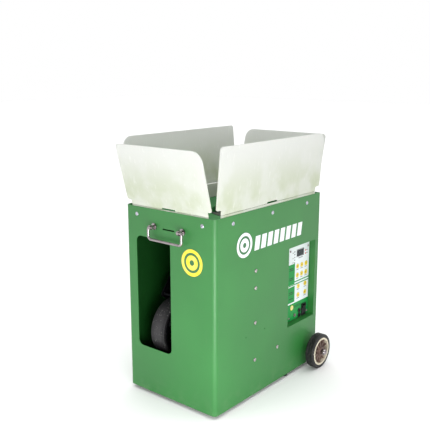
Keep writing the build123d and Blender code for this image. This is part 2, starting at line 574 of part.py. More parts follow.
def hopper_tray():
    """Moulded tray: sloping sides, flat floor and a round well for the carousel."""
    outline = RectangleRounded(2 * TRAY_HALF_X, 2 * TRAY_HALF_Y, BEND_R - SHEET)
    floor_z = TRAY_FLOOR_Z - TRAY_T
    tray = (Pos(0, 0, floor_z) * extrude(outline, TRAY_TOP_Z - floor_z)) & funnel(TRAY_T)
    tray += rod_z(WELL_Z - TRAY_T, floor_z + 1, 0, WELL_Y, WELL_R + TRAY_T)
    tray -= funnel(0)
    for x in (-POST_X, POST_X):
        tray -= block(x - 8, x + 8, -TRAY_HALF_Y - 5, -IN_Y + 11, POST_Z - 8, POST_Z + 8)
    tray -= rod_z(WELL_Z, TRAY_TOP_Z + 5, 0, WELL_Y, WELL_R)
    tray -= rod_z(WELL_Z - 10, WELL_Z + 10, HEAD_X, DROP_Y, TUBE_R)
    return tray - rod_z(WELL_Z - 10, WELL_Z + 10, 0, WELL_Y, SHAFT_R + 1)


def carousel_star():
    """Feeder rotor: five open pockets that carry balls round to the drop hole, and a cone."""
    z0, z1 = WELL_Z + 0.8, TRAY_FLOOR_Z
    star = rod_z(z0, z1, 0, WELL_Y, ROTOR_R)
    first = degrees(atan2(DROP_Y - WELL_Y, HEAD_X))
    for k in range(POCKETS):
        angle = first + 360 / POCKETS * k
        round_end = Pos(POCKET_PITCH_R, 0, 0) * Cylinder(POCKET_R, 60)
        mouth = Pos(POCKET_PITCH_R + 30, 0, 0) * Box(60, 2 * POCKET_R, 60)
        star -= Pos(0, WELL_Y, (z0 + z1) / 2) * Rot(0, 0, angle) * (round_end + mouth)
    star += Pos(0, WELL_Y, z1 + 8) * Cone(26, 8, 16)
    return star - rod_z(z0 - 1, z1 + 4, 0, WELL_Y, SHAFT_R + RUN)


def carousel_gearmotor():
    """Gearmotor hung under the well, its shaft up into the rotor."""
    top = WELL_Z - TRAY_T
    motor = rod_z(top - 6, top, 0, WELL_Y, 32) + rod_z(top - 32, top - 6, 0, WELL_Y, 26)
    motor += rod_z(top - 78, top - 32, 0, WELL_Y, 19) + rod_z(top, TRAY_FLOOR_Z, 0, WELL_Y, SHAFT_R)
    return motor + rod_z(top - 82, top - 78, 0, WELL_Y, 9)


def feed_tube():
    """Flanged drop tube under the carousel's drop hole."""
    top = WELL_Z - TRAY_T
    tube = rod_z(TUBE_Z, top, HEAD_X, DROP_Y, TUBE_R + TUBE_T)
    tube += rod_z(top - 3, top, HEAD_X, DROP_Y, TUBE_R + 7)
    return tube - rod_z(TUBE_Z - 1, top + 1, HEAD_X, DROP_Y, TUBE_R)


def feed_ramp():
    """Half-round chute from the drop tube to the wheels, closed behind, on two arms from the left wall."""
    (ya, za), (yb, zb) = RAMP_LINE
    slope = (za - zb) / (ya - yb)
    length, side = 260, 15
    r, t = TUBE_R, TUBE_T
    trough = Rot(90, 0, 0) * Cylinder(r + t, length) + Pos(0, 0, side / 2) * Box(2 * (r + t), length, side)
    trough &= Pos(0, 0, side - 50) * Box(200, length + 4, 100)
    bore = Rot(90, 0, 0) * Cylinder(r, length + 2) + Pos(0, 0, 30) * Box(2 * r, length + 2, 60)
    place = Pos(HEAD_X, ya, za) * Rot(degrees(atan2(za - zb, ya - yb)), 0, 0)
    chute = (place * (trough - bore)) & block(-200, 200, RAMP_FRONT_Y, RAMP_REAR_Y, 0, 400)
    chute += (place * trough) & block(-200, 200, RAMP_REAR_Y - t, RAMP_REAR_Y, 0, 400)
    for y in (48, 166):
        z = zb + (y - yb) * slope
        chute += block(-IN_X + GAP, HEAD_X - r - t / 2, y, y + 3, z - 14, z + 8)
        chute += block(-IN_X + GAP, -IN_X + GAP + 2, y, y + 22, z - 14, z + 8)
    return chute


# ---- throwing head --------------------------------------------------------------------------
def yaw_post():
    """Turntable pedestal on the base, with the spigot that the turntable turns on."""
    floor = CASE_Z + SHEET
    foot_r, neck_r, bearing_r, bearing_z = 46, 26, 40, TABLE_Z0 - 6
    post = rod_z(floor, floor + 4, HEAD_X, PIVOT_Y, foot_r)
    post += rod_z(floor, bearing_z, HEAD_X, PIVOT_Y, neck_r)
    post += rod_z(bearing_z, TABLE_Z0 - 0.3, HEAD_X, PIVOT_Y, bearing_r)
    return post + rod_z(TABLE_Z0 - 1, TABLE_Z1, HEAD_X, PIVOT_Y, SPIGOT_R)


def yaw_table():
    """Turntable with a toothed sector facing its pinion."""
    table = gear(GEAR_MODULE_YAW, GEAR_TEETH, TABLE_Z1 - TABLE_Z0, SPIGOT_R + RUN, half_sector=36)
    return Pos(HEAD_X, PIVOT_Y, TABLE_Z0) * table


def yaw_gearmotor():
    """Flat gearmotor on the base, shaft up."""
    x, floor = HEAD_X + YAW_CENTRES, CASE_Z + SHEET
    half, top, collar_t = 21, TABLE_Z0 - 6, 2
    motor = block(x - half, x + half, PIVOT_Y - half, PIVOT_Y + half, floor, top)
    motor = fillet(motor.edges().filter_by(Axis.Z), 4)
    motor += rod_z(top, top + collar_t, x, PIVOT_Y, half / 2)
    return motor + rod_z(top + collar_t, TABLE_Z1 + 2, x, PIVOT_Y, PINION_BORE_R)


def yaw_pinion():
    """Small gear on the yaw gearmotor."""
    pinion = gear(GEAR_MODULE_YAW, PINION_TEETH, TABLE_Z1 - TABLE_Z0, PINION_BORE_R + RUN, first_tooth=15)
    return Pos(HEAD_X + YAW_CENTRES, PIVOT_Y, TABLE_Z0) * pinion


def pinion_place():
    """(y, z) of the pitch pinion, on the left arm below the trunnion."""
    return (PIVOT_Y + PITCH_CENTRES * cos(PITCH_DIR), PIVOT_Z - PITCH_CENTRES * sin(PITCH_DIR))


def head_yoke():
    """Welded fork on the turntable; its arms carry the head on two trunnions."""
    x0, x1 = HEAD_X - ARM_X - ARM_T, HEAD_X + ARM_X + ARM_T
    yoke = block(x0, x1, PIVOT_Y - 22, ARM_FOOT_Y + 20, TABLE_Z1, TABLE_Z1 + 3)
    outline = ((ARM_FOOT_Y - 30, TABLE_Z1), (ARM_FOOT_Y + 20, TABLE_Z1), (ARM_FOOT_Y + 16, 100),
               (PIVOT_Y + ARM_HALF, PIVOT_Z), (PIVOT_Y - ARM_HALF, PIVOT_Z), (ARM_FOOT_Y - 20, 100))
    arm = plate_x(outline, 0, ARM_T)
    arm += rod_x(0, ARM_T, PIVOT_Y, PIVOT_Z, ARM_HALF)
    left, right = Pos(x0, 0, 0) * arm, Pos(x1 - ARM_T, 0, 0) * arm
    yoke += left + right
    inner = HEAD_X - PLATE_IN
    yoke += rod_x(x0, inner, PIVOT_Y, PIVOT_Z, TRUNNION_R)
    yoke += rod_x(HEAD_X + PLATE_IN, x1, PIVOT_Y, PIVOT_Z, TRUNNION_R)
    y, z = pinion_place()
    return yoke - rod_x(x0 - 1, x0 + ARM_T + 1, y, z, 6)


def pitch_gearmotor():
    """Gearmotor on the outside of the left arm, its shaft through the arm."""
    y, z = pinion_place()
    face = HEAD_X - ARM_X - ARM_T
    length, body_r, nose_r = 27, 14, 5
    motor = rod_x(face - length, face, y, z, body_r) + rod_x(face, face + ARM_T, y, z, nose_r)
    return motor + rod_x(face, face + ARM_T + 7, y, z, PINION_BORE_R)


def pitch_pinion():
    """Small gear on the pitch gearmotor."""
    y, z = pinion_place()
    pinion = gear(GEAR_MODULE_PITCH, PINION_TEETH, SECTOR_W, PINION_BORE_R + RUN, first_tooth=15)
    spin = degrees(-PITCH_DIR)
    x = HEAD_X - PLATE_IN - PLATE_T - SECTOR_W
    return side_plane(x, y, z) * Rot(0, 0, spin) * pinion


def pitch_frame():
    """Two head plates, four spacers between them and the toothed sector on the left plate."""
    long_half, wide_half = 24, SPACER_ACROSS + 9
    bar = SlotCenterToCenter(2 * NIP, 2 * long_half)
    cross = RectangleRounded(2 * wide_half, 2 * (SPACER_ALONG + 9), 9)
    shape = bar + cross
    for sign in (-1, 1):
        shape -= Pos(sign * NIP, 0) * Circle(9)
        for side in (-1, 1):
            shape -= Pos(sign * (NIP - 38), side * 13) * Circle(4)
    shape -= Circle(TRUNNION_R + RUN)
    plate = extrude(shape, amount=PLATE_T)
    tilt = 90 - PITCH
    plate = Rot(0, 0, tilt) * plate
    left_x, right_x = HEAD_X - PLATE_IN - PLATE_T, HEAD_X + PLATE_IN
    frame = side_plane(left_x, PIVOT_Y, PIVOT_Z) * plate
    frame += side_plane(right_x, PIVOT_Y, PIVOT_Z) * plate
    for along in (-SPACER_ALONG, SPACER_ALONG):
        for across in (-SPACER_ACROSS, SPACER_ACROSS):
            y, z = head_point(along, across)
            frame += rod_x(left_x, right_x + PLATE_T, y, z, SPACER_R)
    sector = gear(GEAR_MODULE_PITCH, GEAR_TEETH, SECTOR_W, TRUNNION_R + RUN, half_sector=39)
    reach = GEAR_MODULE_PITCH * GEAR_TEETH
    half = radians(SECTOR_HALF)
    wedge = make_face(Polyline((-12, 0), (reach * cos(half), reach * sin(half)),
                               (reach, 0), (reach * cos(half), -reach * sin(half)), close=True))
    wedge = Rot(0, 0, -PITCH_RANGE / 2) * extrude(wedge, amount=SECTOR_W)
    sector &= wedge + Cylinder(14, 2 * SECTOR_W)
    place = side_plane(left_x - SECTOR_W, PIVOT_Y, PIVOT_Z) * Rot(0, 0, degrees(-PITCH_DIR))
    return frame + place * sector


def throw_motors():
    """Two wheel motors on the right head plate, shafts across to the wheels."""
    motors = []
    face = HEAD_X + PLATE_IN + PLATE_T
    length, body_r, cap_t, cap_r, nose_r = 70, 30, 6, 12, 8.5
    for sign in (-1, 1):
        y, z = head_point(0, sign * NIP)
        motor = rod_x(face, face + length, y, z, body_r) + rod_x(face + length, face + length + cap_t, y, z, cap_r)
        motor += rod_x(face - PLATE_T - 2, face, y, z, nose_r)
        motors.append(motor + rod_x(HEAD_X - THROW_W / 2 - 6, face, y, z, SHAFT_R))
    return motors


def throw_hub(sign):
    """Turned wheel hub: boss, web with lightening holes and rim."""
    y, z = head_point(0, sign * NIP)
    rim_r, rim_t, web_t, boss_r = THROW_R - TREAD, 5, 6, 15
    holes, hole_ring_r, hole_r = 6, 41, 12
    hub = Cylinder(rim_r, THROW_W) - Cylinder(rim_r - rim_t, THROW_W + 2)
    hub += Cylinder(rim_r - rim_t + 1, web_t) + Cylinder(boss_r, THROW_W + 2)
    for k in range(holes):
        hub -= Rot(0, 0, 360 / holes * k) * Pos(hole_ring_r, 0, 0) * Cylinder(hole_r, 20)
    hub -= Cylinder(SHAFT_R + RUN, THROW_W + 10)
    return Pos(HEAD_X, y, z) * Rot(0, 90, 0) * hub


def throw_tyre(sign):
    """Soft rubber tread bonded to the hub, dished to grip the ball."""
    y, z = head_point(0, sign * NIP)
    half, dish, clear_r = THROW_W / 2 - 3, 1.2, THROW_R + 4
    tread = Cylinder(THROW_R, THROW_W) - Cylinder(THROW_R - TREAD, THROW_W + 2)
    crown = ThreePointArc((THROW_R, -half), (THROW_R - dish, 0), (THROW_R, half))
    crown += Polyline((THROW_R, half), (clear_r, half), (clear_r, -half), (THROW_R, -half))
    hollow = revolve(Plane.XZ * make_face(crown), axis=Axis.Z)
    return Pos(HEAD_X, y, z) * Rot(0, 90, 0) * (tread - hollow)


# ---- power ----------------------------------------------------------------------------------
def battery():
    """Sealed battery block with its lid and two terminals."""
    x0, x1, y0, y1, z0, z1 = -66, 115, 92, 168, CASE_Z + SHEET, 178
    lid_t, step, from_end, post_half = 6, 1.5, 18, 6
    body = block(x0, x1, y0, y1, z0, z1 - lid_t)
    body += block(x0 + step, x1 - step, y0 + step, y1 - step, z1 - lid_t, z1)
    for x in (x0 + from_end, x1 - from_end):
        body += block(x - post_half, x + post_half, y0 + 8, y0 + 8 + 2 * post_half, z1, z1 + 5)
    return body


# ---- write every node -----------------------------------------------------------------------
def main():
    save("case_wrap", case_wrap())
    save("rear_panel", rear_panel())
    save("base_plate", base_plate())
    save("rubber_feet", *rubber_feet())
    save("rim_rivets", *rim_rivets())
    save("side_rail", side_rail())
    save("side_bolts", *side_bolts())

    frames = wall_frames()
    short = flap(FRONT_FLAP_HALF, FRONT_TONGUE_HALF)
    long = flap(SIDE_FLAP_HALF, SIDE_TONGUE_HALF)
    for wall, blank, lean in (("front", short, FRONT_LEAN), ("rear", short, FRONT_LEAN),
                              ("right", long, SIDE_LEAN), ("left", long, SIDE_LEAN)):
        save(f"flap_{wall}", frames[wall] * Rot(lean, 0, 0) * blank)
    short_strip = hinge_strip(FRONT_TONGUE_HALF, FOLD_Z_FRONT, FRONT_RIVETS_X)
    right_strip = hinge_strip(SIDE_TONGUE_HALF, FOLD_Z_FRONT + FOLD_STEP, SIDE_RIVETS_Y)
    left_strip = hinge_strip(SIDE_TONGUE_HALF, FOLD_Z_FRONT + 2 * FOLD_STEP, SIDE_RIVETS_Y)
    save("hinge_strips", frames["front"] * short_strip, frames["rear"] * short_strip,
         frames["right"] * right_strip, frames["left"] * left_strip)

    save("handle_posts", *handle_posts())
    save("bail_handle", bail_handle())

    save("control_tray", control_tray())
    save("control_panel", control_panel())
    save("panel_screws", *panel_screws())
    save("display_window", display_window())
    save("status_leds", *status_leds())
    for number, (y, z) in enumerate(KEYS, 1):
        save(f"key_{number}", key_cap(y, z))
    save("power_jacks", *power_jacks())
    save("sensor_socket", sensor_socket())
    save("rocker_bezel", rocker_bezel())
    save("rocker_switch", rocker_switch())
    save("control_board", control_board())

    save("wheel_axle", wheel_axle())
    save("axle_bushes", *axle_bushes())
    save("cap_nuts", *cap_nuts())
    for side, sx in (("right", 1), ("left", -1)):
        save(f"road_tyre_{side}", road_tyre(sx))
        save(f"road_hub_{side}", road_hub(sx))

    save("hopper_tray", hopper_tray())
    save("carousel_star", carousel_star())
    save("carousel_gearmotor", carousel_gearmotor())
    save("feed_tube", feed_tube())
    save("feed_ramp", feed_ramp())

    save("yaw_post", yaw_post())
    save("yaw_table", yaw_table())
    save("yaw_gearmotor", yaw_gearmotor())
    save("yaw_pinion", yaw_pinion())
    save("head_yoke", head_yoke())
    save("pitch_gearmotor", pitch_gearmotor())
    save("pitch_pinion", pitch_pinion())
    save("pitch_frame", pitch_frame())
    save("throw_motors", *throw_motors())
    for name, sign in (("upper", 1), ("lower", -1)):
        save(f"throw_hub_{name}", throw_hub(sign))
        save(f"throw_tyre_{name}", throw_tyre(sign))
    save("battery", battery())


main()
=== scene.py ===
from math import cos, pi, radians, sin

import bmesh
import bpy
import numpy as np
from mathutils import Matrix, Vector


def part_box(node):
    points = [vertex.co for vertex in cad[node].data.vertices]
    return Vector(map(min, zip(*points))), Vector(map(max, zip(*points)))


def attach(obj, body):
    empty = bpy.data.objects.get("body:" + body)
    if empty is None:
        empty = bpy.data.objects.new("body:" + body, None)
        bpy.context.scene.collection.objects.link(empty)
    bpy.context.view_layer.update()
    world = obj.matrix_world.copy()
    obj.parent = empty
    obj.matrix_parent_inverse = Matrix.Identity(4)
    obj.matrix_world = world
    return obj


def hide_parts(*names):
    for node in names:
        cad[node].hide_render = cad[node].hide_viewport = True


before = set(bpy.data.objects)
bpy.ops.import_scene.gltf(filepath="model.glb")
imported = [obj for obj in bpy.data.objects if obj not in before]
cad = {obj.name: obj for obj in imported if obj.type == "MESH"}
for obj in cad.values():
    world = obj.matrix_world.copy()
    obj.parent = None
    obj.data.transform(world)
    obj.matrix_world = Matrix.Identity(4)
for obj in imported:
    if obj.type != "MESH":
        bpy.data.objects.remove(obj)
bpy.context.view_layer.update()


# ---- Case -----------------------------------------------------------------------------------------
# A bent steel sheet with a separate rear panel and a flat base, powder coated in satin green outside, with a
# dark green painted shade on the inner faces below the rim band. The coat has a fine orange-peel skin and
# gathers a little dust low down.

class Amount:
    """A number, colour or direction that varies over a surface. Arithmetic on it adds Math nodes."""

    def __init__(self, coat, socket):
        self.coat = coat
        self.socket = socket

    def maths(self, operation, *values):
        return self.coat.add("ShaderNodeMath", {"operation": operation}, values)

    def __add__(self, other):
        return self.maths("ADD", self, other)

    def __sub__(self, other):
        return self.maths("SUBTRACT", self, other)

    def __rsub__(self, other):
        return self.maths("SUBTRACT", other, self)

    def __mul__(self, other):
        return self.maths("MULTIPLY", self, other)

    def __pow__(self, other):
        return self.maths("POWER", self, other)

    def __lt__(self, other):
        return self.maths("LESS_THAN", self, other)

    def __gt__(self, other):
        return self.maths("GREATER_THAN", self, other)

    def __mod__(self, other):
        return self.maths("FLOORED_MODULO", self, other)

    def __abs__(self):
        return self.maths("ABSOLUTE", self)

    __radd__ = __add__
    __rmul__ = __mul__

    def most(self, other):
        return self.maths("MAXIMUM", self, other)

    def wave(self):
        return self.maths("SINE", self)

    def root(self):
        return self.maths("SQRT", self)

    def rise(self, start, end):
        """0 below start, 1 above end, and a smooth step between."""
        return self.coat.add("ShaderNodeMapRange", {"interpolation_type": "SMOOTHSTEP"},
                             {"Value": self, "From Min": start, "From Max": end})

    def near(self, middle, half):
        """1 where the number is within half of middle, else 0."""
        return abs(self - middle) < half


class Coat:
    """One material: a surface shader, and the places on the object that its patterns are worked out from."""

    def __init__(self, name, **fixed):
        self.material = bpy.data.materials.new(name)
        self.material.use_nodes = True
        self.tree = self.material.node_tree
        self.shader = self.tree.nodes["Principled BSDF"]
        for socket, value in fixed.items():
            self.shader.inputs[socket.replace("_", " ")].default_value = value
        self.place = self.add("ShaderNodeTexCoord", output="Object")
        split = self.add("ShaderNodeSeparateXYZ", {}, [self.place]).socket.node
        self.x, self.y, self.z = (Amount(self, out) for out in split.outputs)

    def add(self, kind, settings=None, values=(), output=0):
        """Adds a node of one kind: settings first, then its sockets' values or links. Gives one output."""
        node = self.tree.nodes.new(kind)
        for name, value in (settings or {}).items():
            setattr(node, name, value)
        pairs = values.items() if isinstance(values, dict) else enumerate(values)
        for key, value in pairs:
            self.feed(node.inputs[key], value)
        return Amount(self, node.outputs[output])

    def feed(self, socket, value):
        """Links an Amount to a socket, or sets a plain value on it."""
        if isinstance(value, Amount):
            self.tree.links.new(value.socket, socket)
        else:
            socket.default_value = value

    def grain(self, scale, detail=2.0, stretch=(1, 1, 1)):
        """Cloudy pattern from 0 to 1, with about scale patches to the metre, drawn out by stretch."""
        place = self.place
        if stretch != (1, 1, 1):
            place = self.add("ShaderNodeMapping", {}, {"Vector": place, "Scale": stretch})
        return self.add("ShaderNodeTexNoise", {}, {"Vector": place, "Scale": scale, "Detail": detail})

    def mixed(self, amount, low, high):
        """Colour that goes from low to high as amount goes from 0 to 1."""
        return self.add("ShaderNodeMix", {"data_type": "RGBA"}, {0: amount, 6: low, 7: high}, output=2)

    def away(self, y, z):
        """Distance from an axis that runs along X through y, z."""
        return ((self.y - y) * (self.y - y) + (self.z - z) * (self.z - z)).root()

    def cover(self, colour=None, roughness=None, height=None, depth=0.0002):
        """Feeds colour, roughness and a bump of the given depth to the shader."""
        if colour is not None:
            self.feed(self.shader.inputs["Base Color"], colour)
        if roughness is not None:
            self.feed(self.shader.inputs["Roughness"], roughness)
        if height is not None:
            bump = self.add("ShaderNodeBump", {}, {"Strength": 1.0, "Distance": depth, "Height": height})
            self.feed(self.shader.inputs["Normal"], bump)
        return self.material


def tint(red, green, blue):
    """Screen colour, 0 to 255 a channel, as the linear colour that a shader takes."""
    linear = [((c / 255 + 0.055) / 1.055) ** 2.4 for c in (red, green, blue)]
    return (*linear, 1.0)


def finish_cad(material, *names):
    """Puts a material on CAD nodes that stay as they are."""
    for name in names:
        mesh = cad[name].data
        mesh.materials.clear()
        mesh.materials.append(material)


def powder_coat(name, colour, dusty, scuffed, inside=None):
    """Satin powder coat: cloudy colour, orange-peel skin, dust near the floor and fine rubbed streaks.
    Inside is how far the coated faces lie from the middle in x and y: nearer in and below the rim band, they
    take a dark green painted shade."""
    coat = Coat(name, Specular_IOR_Level=0.65, Coat_Weight=0.08, Coat_Roughness=0.3)
    clouds = coat.grain(7, 4)
    colours = coat.mixed(clouds.rise(0.3, 0.75), colour, scuffed)
    streaks = coat.grain(60, 3, (1, 1, 0.12)).rise(0.68, 0.8)
    low = 1 - coat.z.rise(0.01, 0.07)
    rubbed = coat.grain(34, 5).rise(0.4, 0.8) * low
    colours = coat.mixed((streaks * 0.18).most(rubbed * 0.3), colours, dusty)
    # Painted shade: the inner faces of walls and base below the rim band turn dark green.
    if inside:
        within = (abs(coat.x) < inside[0]) * (abs(coat.y) < inside[1]) * (coat.z < RIM_BAND)
        corner = (abs(coat.x) - inside[0] + BEND).most(0) ** 2 + (abs(coat.y) - inside[1] + BEND).most(0) ** 2
        within = within * (corner < BEND * BEND)
        colours = coat.mixed(within, colours, inner_shade_green)
    skin = coat.grain(620, 2)
    roughness = 0.42 + 0.1 * clouds + 0.14 * streaks + 0.12 * low
    return coat.cover(colours, roughness, skin, 0.00016)


MM = 0.001
RIM_BAND, INNER_FACE, BEND = 470 * MM, 1.45 * MM, 9.5 * MM
# Dark green of the painted shade inside the case.
inner_shade_green = tint(8, 66, 15)
wall_x, wall_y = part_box("case_wrap")[1][:2]
coated = (tint(36, 115, 46), tint(104, 144, 98), tint(42, 122, 51))
case_green = powder_coat("case_green", *coated, (wall_x - INNER_FACE, wall_y - INNER_FACE))
finish_cad(case_green, "case_wrap", "rear_panel", "base_plate")
finish_cad(powder_coat("tray_green", *coated), "control_tray")


# ---- Round badges and speed bars ------------------------------------------------------------------
# Cut vinyl stuck on the coat: a yellow disc beside the outlet, a white disc high on the right wall and a
# row of slanted white bars behind it. The film is thin, and its edges have lifted a hair.

def skin(name, points, around=False, along=False, left_out=None):
    """Mesh through a grid of points (rows, columns, xyz), a face between each four neighbours.
    Around joins the last column to the first, along the last row to the first, and left_out drops faces."""
    rows, columns = points.shape[:2]
    index = np.arange(rows * columns).reshape(rows, columns)
    if around:
        index = np.hstack([index, index[:, :1]])
    if along:
        index = np.vstack([index, index[:1]])
    faces = np.stack([index[:-1, :-1], index[:-1, 1:], index[1:, 1:], index[1:, :-1]], axis=-1)
    faces = faces[~left_out] if left_out is not None else faces.reshape(-1, 4)
    mesh = bpy.data.meshes.new(name)
    mesh.from_pydata(points.reshape(-1, 3).tolist(), [], faces.tolist())
    made = bpy.data.objects.new(name, mesh)
    bpy.context.scene.collection.objects.link(made)
    return made


def close_up(made, sharp=35):
    """Welds poles and seams, turns all faces outwards and shades the mesh smooth up to a sharp angle."""
    work = bmesh.new()
    work.from_mesh(made.data)
    bmesh.ops.remove_doubles(work, verts=work.verts, dist=1e-7)
    bmesh.ops.dissolve_degenerate(work, edges=work.edges, dist=1e-7)
    bmesh.ops.recalc_face_normals(work, faces=work.faces)
    work.to_mesh(made.data)
    work.free()
    made.data.shade_smooth()
    made.data.set_sharp_from_angle(angle=radians(sharp))
    return made


def turned(name, profile, centre, steps=96, axis="x", facing=1, sharp=35):
    """Lathe work: a profile of (radius, distance along the axis) carried round the axis through centre.
    A point at angle a is centre + radius (cos a, sin a) across the axis + distance along it, times facing."""
    profile = np.asarray(profile, float)
    turn = np.linspace(0, 2 * pi, steps, endpoint=False)
    across = profile[:, 0, None] * np.cos(turn)
    up = profile[:, 0, None] * np.sin(turn)
    out = facing * np.repeat(profile[:, 1, None], steps, axis=1)
    parts = {"x": (out, across, up), "y": (across, out, up), "z": (across, up, out)}[axis]
    points = np.stack(parts, axis=-1) + np.asarray(centre)
    closed = profile[0, 0] > 0
    return close_up(skin(name, points, around=True, along=closed), sharp)


def vinyl(name, ground, ink, centre, radius):
    """Printed disc on a wall: ground colour, an ink rim, and a plain target of a ring and a dot."""
    film = Coat(name, Roughness=0.4, Coat_Weight=0.25, Coat_Roughness=0.2)
    across = (film.x - centre[0]) * (film.x - centre[0]) + (film.y - centre[1]) * (film.y - centre[1])
    out = (across + (film.z - centre[2]) * (film.z - centre[2])).root()
    marks = out.near(0.62 * radius, 0.09 * radius).most(out < 0.2 * radius).most(out > 0.955 * radius)
    worn = film.mixed(film.grain(40, 5).rise(0.35, 0.8) * 0.25, ground, tint(225, 222, 205))
    return film.cover(film.mixed(marks, worn, ink), 0.34 + 0.2 * film.grain(90), film.grain(300), 0.00005)


def disc_profile(radius, thick):
    """Flat round film with a rolled edge, from the middle of its face to the middle of its back."""
    edge = np.linspace(0, pi / 2, 5)
    rim = [(radius - thick + thick * sin(a), thick * cos(a)) for a in edge]
    return [(0, thick), (radius * 0.5, thick), *rim, (radius - thick, 0), (0, 0)]


FILM = 0.25 * MM
green_ink = tint(40, 105, 55)
front_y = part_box("case_wrap")[0][1]
side_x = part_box("case_wrap")[1][0]
FRONT_BADGE_R, SIDE_BADGE_R = 35.5 * MM, 33 * MM
front_badge_at = (77 * MM, front_y, 394 * MM)
front_badge = turned("front_badge", disc_profile(FRONT_BADGE_R, FILM), front_badge_at, axis="y", facing=-1)
front_badge.data.materials.append(
    vinyl("badge_yellow_print", tint(236, 214, 12), green_ink, front_badge_at, FRONT_BADGE_R))
side_badge_at = (side_x, -119 * MM, 427 * MM)
side_badge = turned("side_badge", disc_profile(SIDE_BADGE_R, FILM), side_badge_at)
side_badge.data.materials.append(
    vinyl("badge_white_print", tint(236, 238, 244), green_ink, side_badge_at, SIDE_BADGE_R))


def speed_bars(name, starts, width, low, high, lean):
    """Slanted bars on the right wall. Bar k runs from starts[k] to starts[k] + width, leaning back by lean
    from its low edge to its high edge, and stands proud by the film's thickness with a sloping edge."""
    k, side, level, up = np.meshgrid(np.arange(len(starts)), [0, 1], [0, 1], [0, 1], indexing="ij")
    inset = level * 0.3 * MM * (1 - 2 * side)
    height = np.where(up == 1, high - level * 0.3 * MM, low + level * 0.3 * MM)
    y = np.asarray(starts)[k] + side * width + inset + lean * (height - low) / (high - low)
    x = side_x + level * FILM
    points = np.stack([np.broadcast_to(x, y.shape), y, height], axis=-1)
    corner = np.arange(8).reshape(2, 2, 2)
    ring = [corner[0, :, 0], corner[1, :, 0], corner[1, :, 1], corner[0, :, 1]]
    faces = [[ring[n][0], ring[(n + 1) % 4][0], ring[(n + 1) % 4][1], ring[n][1]] for n in range(4)]
    faces += [[r[1] for r in ring], [r[0] for r in reversed(ring)]]
    faces = (np.asarray(faces)[None] + 8 * np.arange(len(starts))[:, None, None]).reshape(-1, 4)
    mesh = bpy.data.meshes.new(name)
    mesh.from_pydata(points.reshape(-1, 3).tolist(), [], faces.tolist())
    made = bpy.data.objects.new(name, mesh)
    bpy.context.scene.collection.objects.link(made)
    return close_up(made)


def bar_film():
    """White film, a little yellowed and scratched along its length."""
    film = Coat("bar_white_print", Roughness=0.4, Coat_Weight=0.2, Coat_Roughness=0.25)
    aged = film.mixed(film.grain(30, 4).rise(0.4, 0.8) * 0.5, tint(238, 240, 246), tint(216, 216, 212))
    scratched = film.mixed(film.grain(260, 2, (1, 0.1, 1)).rise(0.7, 0.76) * 0.5, aged, tint(120, 160, 122))
    return film.cover(scratched, 0.36 + 0.2 * film.grain(70), film.grain(240), 0.00005)


BAR_PITCH = 28 * MM
bar_starts = [-78 * MM + BAR_PITCH * k for k in range(8)]
bars = speed_bars("speed_bars", bar_starts, 20 * MM, 404.5 * MM, 441 * MM, 6 * MM)
bars.data.materials.append(bar_film())
for print_piece in (front_badge, side_badge, bars):
    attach(print_piece, "case")


# ---- Rivets, bolts and screws ---------------------------------------------------------------------
# Zinc-plated steel. The rim rivets are blind rivets: a low dome with a punched hole, in which the broken
# end of the pulled pin shows. The bolts and screws are turned, and their zinc has clouded.

def plated(name, colour, rough, cloud, ring=None, coarse=220, heads=(), head_r=1.0):
    """Plated or turned metal: cloudy oxide, fine scratches and, about a ring axis, lathe lines. Heads are the
    (y, z) middles of bolt heads of radius head_r, which get painted shade round their skirts and in their
    sockets."""
    metal = Coat(name, Metallic=1.0)
    dull = metal.grain(coarse, 4)
    colours = metal.mixed(dull.rise(0.4, 0.75), colour, cloud)
    for y, z in heads:
        out = metal.away(y * MM, z * MM)
        # Painted shade: a dark ring where each head meets the wall, and a dark spot in its socket.
        worn = out.rise(0.62 * head_r, 0.95 * head_r).most(out < 0.34 * head_r) * (out < 1.2 * head_r)
        colours = metal.mixed(worn * 0.85, colours, bolt_head_shade)
    fine = metal.grain(1500, 2, (1, 0.08, 1))
    if ring:
        fine = 0.5 + 0.5 * (metal.away(*ring) * 9000).wave()
    return metal.cover(colours, rough + 0.16 * dull + 0.08 * fine, fine * 0.5 + dull, 0.00006)


zinc = plated("zinc_plate", tint(206, 204, 216), 0.26, tint(150, 150, 162))
# Colour of the painted shade at the bolt heads.
bolt_head_shade = tint(46, 34, 32)
bolt_at = ((-70, 350), (-70, 304), (-70, 210), (-70, 107), (33, 109))
bolt_look = (tint(226, 220, 220), 0.22, tint(176, 164, 164))
finish_cad(plated("bolt_steel", *bolt_look, heads=bolt_at, head_r=5.6 * MM), "side_bolts")
screw_steel = plated("screw_steel", tint(168, 156, 156), 0.22, tint(84, 68, 66), coarse=500)
finish_cad(screw_steel, "panel_screws", "sensor_socket")

RIVET_PIN = [(0, 0.8), (1.25, 0.9), (1.4, 1.2), (1.5, 1.95)]
RIVET_DOME = [(1.75, 2.15), (2.3, 2.1), (3.2, 1.85), (4.1, 1.45), (4.9, 0.9), (5.2, 0.35), (5.0, 0)]
RIVET_TAIL = [(2.5, 0), (2.5, -4.5), (4.5, -4.5), (4.5, -5.4), (4.1, -5.7), (0, -5.7)]


